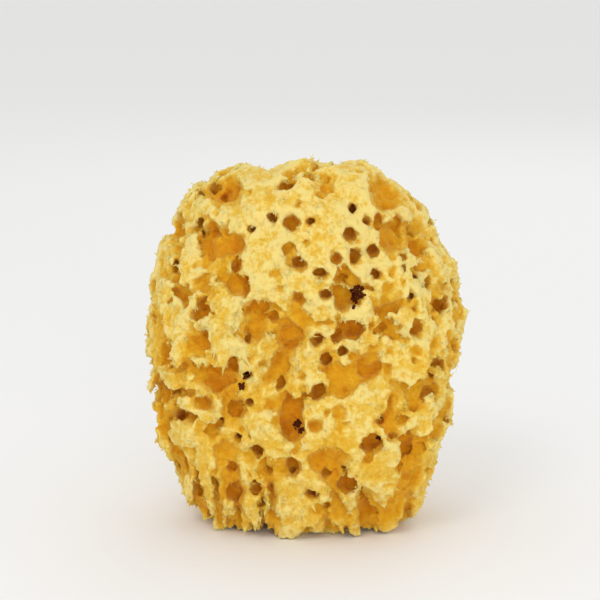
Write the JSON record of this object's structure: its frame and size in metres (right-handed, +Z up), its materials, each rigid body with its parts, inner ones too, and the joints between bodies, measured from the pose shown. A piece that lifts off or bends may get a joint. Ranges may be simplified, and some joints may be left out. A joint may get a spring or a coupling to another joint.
{
  "type": "sea sponge",
  "caption": "Upright lumpy honeycomb bath sponge, full of canals and pits, standing on its flat root cut.",
  "frame": {"origin": "middle of the flat root cut that the sponge stands on, under the centre of its box", "axes": "+Z up from the cut to the crown, -Y out of the broad front face, +X to the right of that face"},
  "size_m": [0.094, 0.062, 0.108],
  "materials": {
    "spongin": "matt, fibrous and porous, pale honey outside, amber in the canals"
  },
  "bodies": {
    "root": {"sponge": "spongin"}
  },
  "joints": []
}
